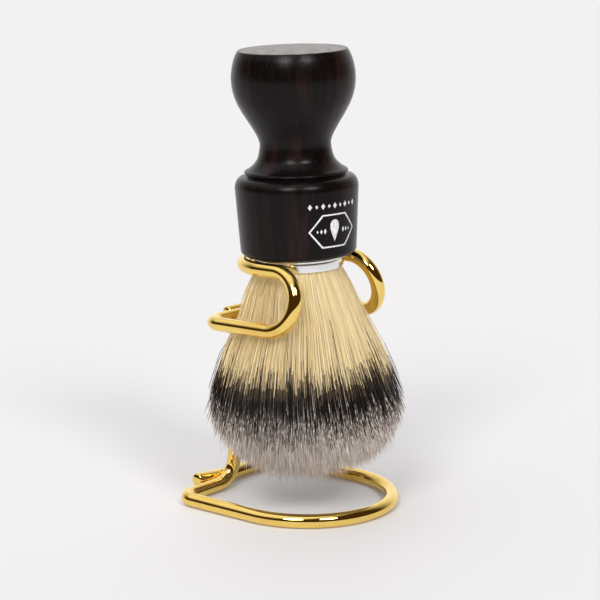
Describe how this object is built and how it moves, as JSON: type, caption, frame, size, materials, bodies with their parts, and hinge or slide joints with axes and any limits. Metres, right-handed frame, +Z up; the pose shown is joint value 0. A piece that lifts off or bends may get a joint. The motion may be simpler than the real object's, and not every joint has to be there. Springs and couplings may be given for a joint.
{
  "type": "shaving brush stand",
  "caption": "Bent-wire brush stand: a D-shaped base loop, an upright and an open fork with turned-down arms, with a wooden-handled brush hanging in the fork.",
  "frame": {"origin": "on the surface the stand rests on, under the middle of the whole object's box", "axes": "+Z up; -Y out of the open mouth of the fork; +Y towards the upright; +X to the right seen from the mouth"},
  "size_m": [0.0558, 0.0592, 0.1301],
  "materials": {
    "gold_plate": "mirror-polished gold plate",
    "lacquered_wood": "near-black satin lacquer",
    "polished_metal": "polished",
    "resin": "cast",
    "fibre": "soft synthetic fibre"
  },
  "bodies": {
    "stand": {"stand_wire": "gold_plate"},
    "brush": {"handle": "lacquered_wood", "ferrule": "polished_metal", "knot_plug": "resin", "knot": "fibre"}
  },
  "joints": [
    {"name": "brush_slide", "type": "slide", "parent": "stand", "child": "brush", "axis": [-0.0697, -0.9967, 0.0419], "range_m": [0, 0.06]}
  ]
}
